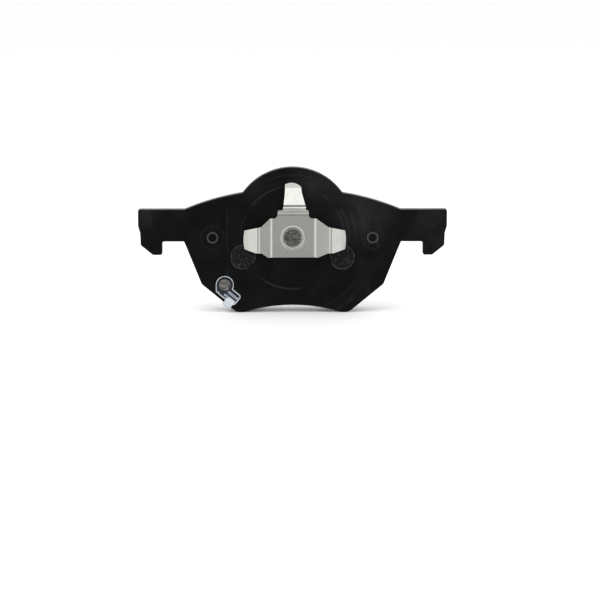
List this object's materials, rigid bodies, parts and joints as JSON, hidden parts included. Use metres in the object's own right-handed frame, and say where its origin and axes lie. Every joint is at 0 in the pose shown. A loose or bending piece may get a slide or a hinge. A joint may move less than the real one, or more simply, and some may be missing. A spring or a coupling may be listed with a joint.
{
  "type": "brake pad",
  "caption": "Inner disc brake pad: eared black steel plate with hooks, moulded friction block with chamfered ends, piston spring clip and riveted wear indicator.",
  "frame": {"origin": "where the caliper piston's axis meets the back face of the backing plate", "axes": "+X along the pad, seen from behind to the right; +Y towards the disc, along the piston's thrust; +Z radially outward, up"},
  "size_m": [0.15, 0.0223, 0.0711],
  "materials": {
    "plate_paint": "black satin powder coat, ground bare on the friction side",
    "adhesive": "dark cured adhesive",
    "underlayer_compound": "matt moulded fibre and resin",
    "friction_compound": "matt ground, speckled",
    "clip_steel": "bright rolled sheet",
    "rivet_steel": "rough upset head",
    "indicator_zinc": "bright bluish zinc plate"
  },
  "bodies": {
    "root": {"backing_plate": "plate_paint", "bond_film": "adhesive", "underlayer": "underlayer_compound", "friction_block": "friction_compound", "piston_clip": "clip_steel", "clip_rivet": "rivet_steel", "wear_indicator": "indicator_zinc", "indicator_rivet": "rivet_steel"}
  },
  "joints": []
}
